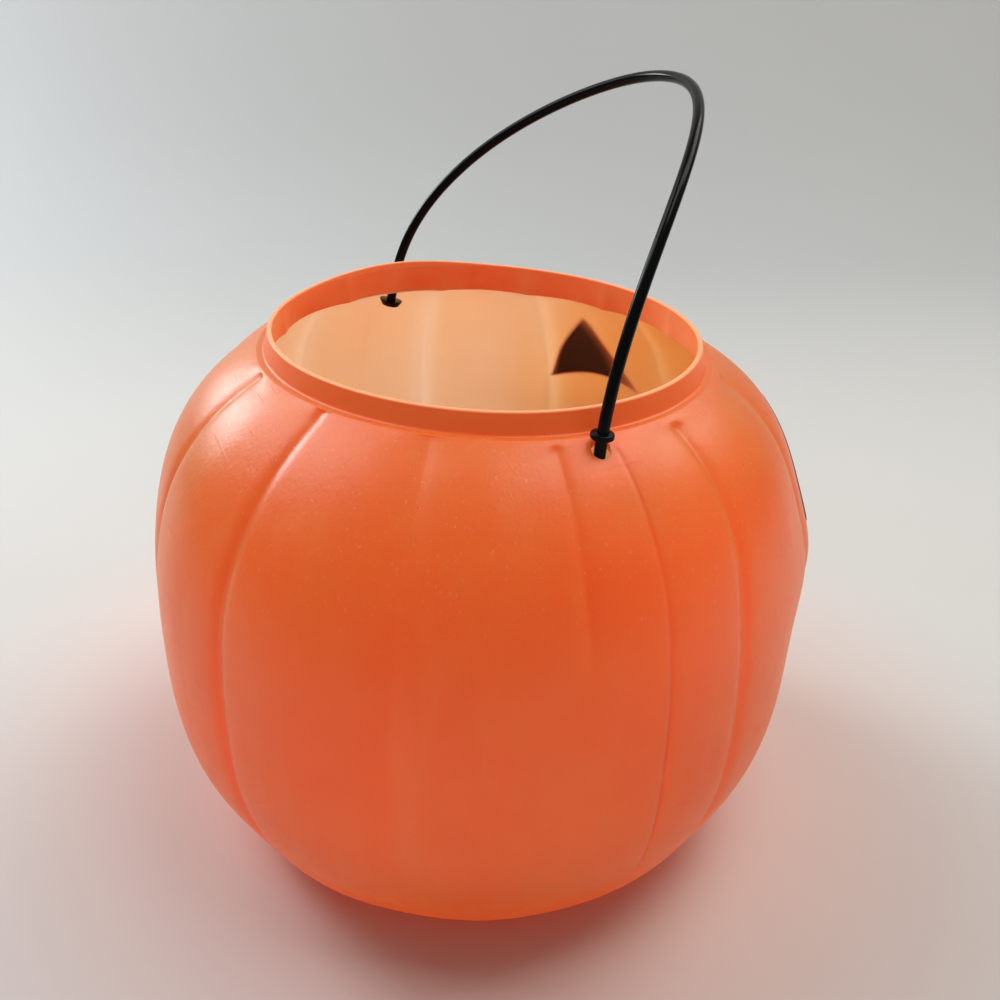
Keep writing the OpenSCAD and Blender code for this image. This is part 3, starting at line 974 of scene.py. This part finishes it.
# Square lights: degrees round the pail and above the floor, metres away, side, watts, colour
lights = {
    "leftSoftbox": {"azimuth": 40, "elevation": 50, "distance": 1.6, "side": 0.9,
                    "power": 9.4, "colour": (0.90, 0.98, 1.0)},
    "rightSoftbox": {"azimuth": -88, "elevation": 52, "distance": 1.6, "side": 0.9,
                     "power": 10.4, "colour": (1.0, 0.96, 0.88)},
    "ceiling": {"azimuth": -125, "elevation": 77, "distance": 1.5, "side": 0.6,
                "power": 5, "colour": (1.0, 0.98, 0.95)},
    "window": {"azimuth": 27, "elevation": 22, "distance": 1.35, "side": 0.36,
               "power": 6.0, "colour": (0.93, 0.97, 1.0)},
}
lightAim = (0, 0, 0.1)


def makePaper(away):
    # Flat toward the camera, bent up behind the pail and upright from there
    across = Vector((-away.y, away.x, 0))
    up = Vector((0, 0, 1))
    bm = bmesh.new()
    line = [away * -stage["front"], away * stage["bendDistance"]]
    for i in range(1, stage["bendSteps"] + 1):
        a = math.pi / 2 * i / stage["bendSteps"]
        back = stage["bendDistance"] + stage["bendRadius"] * math.sin(a)
        line.append(away * back + up * stage["bendRadius"] * (1 - math.cos(a)))
    line.append(line[-1] + up * stage["height"])
    points = [bm.verts.new(p - across * stage["width"] / 2) for p in line]
    edges = [bm.edges.new(pair) for pair in zip(points, points[1:])]
    swept = bmesh.ops.extrude_edge_only(bm, edges=edges)
    moved = [v for v in swept["geom"] if isinstance(v, bmesh.types.BMVert)]
    bmesh.ops.translate(bm, verts=moved, vec=across * stage["width"])
    bmesh.ops.recalc_face_normals(bm, faces=bm.faces)
    paper = makeObject("paperSweep", bm)
    smooth(paper, 60)
    return paper


def palePaper(away):
    nodes = Nodes("palePaper")
    fibre = nodes.noise(260, 4, 0.6)
    tone = nodes.noise(3, 3, 0.5)
    x, y, height = nodes.split()[:3]
    back = nodes.math("MULTIPLY_ADD", y, away.y, nodes.math("MULTIPLY", x, away.x))
    # Painted shade and light: darker further behind the pail, lighter again on its upright part
    colour = nodes.mix(nodes.ramp(back, 0.15, 0.7), stage["floor"], stage["behind"])
    colour = nodes.mix(nodes.ramp(height, 0.05, 0.4), colour, stage["wall"])
    far = nodes.math("SQRT", nodes.math("MULTIPLY_ADD", x, x, nodes.math("MULTIPLY", y, y)))
    # Painted glow of the pail on the paper close round it
    colour = nodes.mix(nodes.ramp(far, 0.08, 0.24, 0.8, 0), colour, stage["pailGlowTint"])
    colour = nodes.mix(nodes.ramp(tone, 0.2, 0.8, 0, 0.06), colour, stage["mottle"])
    nodes.set(Base_Color=colour, Roughness=0.7, Normal=nodes.bump(fibre, 0.1, 0.0005))
    return nodes.material


def makeLight(name, facts):
    data = bpy.data.lights.new(name, "AREA")
    data.size = facts["side"]
    data.energy = facts["power"]
    data.color = facts["colour"]
    lamp = bpy.data.objects.new(name, data)
    a, e = math.radians(facts["azimuth"]), math.radians(facts["elevation"])
    out = Vector((math.cos(a) * math.cos(e), math.sin(a) * math.cos(e), math.sin(e)))
    lamp.location = Vector(lightAim) + out * facts["distance"]
    lamp.rotation_mode = "QUATERNION"
    lamp.rotation_quaternion = out.to_track_quat("Z", "Y")
    bpy.context.scene.collection.objects.link(lamp)


def makeWorld():
    world = bpy.data.worlds.new("softRoom")
    bpy.context.scene.world = world
    world.use_nodes = True
    background = world.node_tree.nodes["Background"]
    background.inputs["Color"].default_value = (*stage["room"], 1)
    background.inputs["Strength"].default_value = stage["roomStrength"]


away = Vector((view["look"][0], view["look"][1], 0)).normalized()
paper = makePaper(away)
paper.data.materials.append(palePaper(away))
makeWorld()
for name, facts in lights.items():
    makeLight(name, facts)
print("stage ready")
